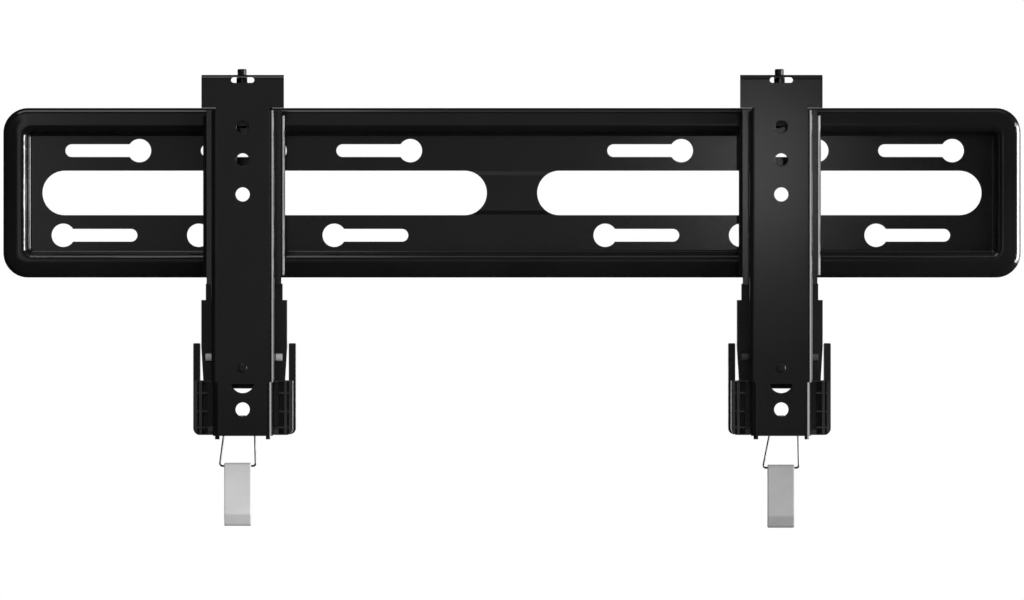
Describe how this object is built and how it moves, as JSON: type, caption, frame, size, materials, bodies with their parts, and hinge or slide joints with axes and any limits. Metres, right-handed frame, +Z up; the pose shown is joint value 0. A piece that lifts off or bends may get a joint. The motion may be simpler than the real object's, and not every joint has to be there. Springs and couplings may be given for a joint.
{
  "type": "fixed tv wall bracket",
  "caption": "Slim wall plate with keyhole slots and long openings, and hook-on arms that slide along its rim, level by a screw and lock with a spring latch that a pull tab frees.",
  "frame": {"origin": "middle of the wall plate's back face, on the wall", "axes": "X along the wall plate, +Y into the wall, Z up"},
  "size_m": [0.762, 0.0413, 0.3421],
  "materials": {
    "plate_steel": "black satin powder coat",
    "carriage_steel": "black satin powder coat",
    "arm_steel": "black satin powder coat",
    "hidden_steel": "black oxide",
    "screw_steel": "zinc plated",
    "spring_steel": "zinc plated wire",
    "wire_steel": "drawn steel wire",
    "guide_plastic": "black moulded, fine grain",
    "latch_plastic": "black moulded, fine grain",
    "tab_plastic": "pale grey moulded, satin"
  },
  "bodies": {
    "wall_plate": {"wall_plate": "plate_steel"},
    "left_carriage": {"carriage_left": "carriage_steel", "lift_nut_left": "hidden_steel"},
    "left_arm": {"arm_left": "arm_steel", "guide_pins_left": "hidden_steel", "guide_stud_left": "hidden_steel", "latch_guide_left": "guide_plastic", "guide_screws_left": "screw_steel", "return_springs_left": "spring_steel"},
    "left_screw": {"level_screw_left": "screw_steel", "collar_nut_left": "screw_steel"},
    "left_latch": {"latch_left": "latch_plastic"},
    "left_bail": {"bail_left": "wire_steel"},
    "left_tab": {"pull_tab_left": "tab_plastic"},
    "right_carriage": {"carriage_right": "carriage_steel", "lift_nut_right": "hidden_steel"},
    "right_arm": {"arm_right": "arm_steel", "guide_pins_right": "hidden_steel", "guide_stud_right": "hidden_steel", "latch_guide_right": "guide_plastic", "guide_screws_right": "screw_steel", "return_springs_right": "spring_steel"},
    "right_screw": {"level_screw_right": "screw_steel", "collar_nut_right": "screw_steel"},
    "right_latch": {"latch_right": "latch_plastic"},
    "right_bail": {"bail_right": "wire_steel"},
    "right_tab": {"pull_tab_right": "tab_plastic"}
  },
  "joints": [
    {"name": "left_bracket_slide", "type": "slide", "parent": "wall_plate", "child": "left_carriage", "axis": [1, 0, 0], "range_m": [-0.125, 0.15]},
    {"name": "left_level", "type": "slide", "parent": "left_carriage", "child": "left_arm", "axis": [0, 0, 1], "range_m": [-0.003, 0.003]},
    {"name": "left_screw_turn", "type": "hinge", "parent": "left_arm", "child": "left_screw", "pos_m": [-0.201, -0.03, 0.087], "axis": [0, 0, 1], "range_deg": [-1360, 1360]},
    {"name": "left_latch_slide", "type": "slide", "parent": "left_arm", "child": "left_latch", "axis": [0, 0, -1], "range_m": [0, 0.008], "stiffness_N_per_m": 400, "springref_m": -0.004, "deforming": ["return_springs_left"]},
    {"name": "left_bail_swing", "type": "hinge", "parent": "left_latch", "child": "left_bail", "pos_m": [-0.2, -0.01625, -0.176], "axis": [1, 0, 0], "range_deg": [-25, 10]},
    {"name": "left_tab_swing", "type": "hinge", "parent": "left_bail", "child": "left_tab", "pos_m": [-0.205, -0.01625, -0.2043], "axis": [1, 0, 0], "range_deg": [-75, 15]},
    {"name": "right_bracket_slide", "type": "slide", "parent": "wall_plate", "child": "right_carriage", "axis": [1, 0, 0], "range_m": [-0.15, 0.125]},
    {"name": "right_level", "type": "slide", "parent": "right_carriage", "child": "right_arm", "axis": [0, 0, 1], "range_m": [-0.003, 0.003]},
    {"name": "right_screw_turn", "type": "hinge", "parent": "right_arm", "child": "right_screw", "pos_m": [0.199, -0.03, 0.087], "axis": [0, 0, 1], "range_deg": [-1360, 1360]},
    {"name": "right_latch_slide", "type": "slide", "parent": "right_arm", "child": "right_latch", "axis": [0, 0, -1], "range_m": [0, 0.008], "stiffness_N_per_m": 400, "springref_m": -0.004, "deforming": ["return_springs_right"]},
    {"name": "right_bail_swing", "type": "hinge", "parent": "right_latch", "child": "right_bail", "pos_m": [0.2, -0.01625, -0.176], "axis": [1, 0, 0], "range_deg": [-25, 10]},
    {"name": "right_tab_swing", "type": "hinge", "parent": "right_bail", "child": "right_tab", "pos_m": [0.2009, -0.01625, -0.2057], "axis": [1, 0, 0], "range_deg": [-75, 15]}
  ],
  "couplings": [
    {"joint": "left_screw_turn", "follows": "left_level", "rad_per_m": 7854},
    {"joint": "right_screw_turn", "follows": "right_level", "rad_per_m": 7854}
  ]
}
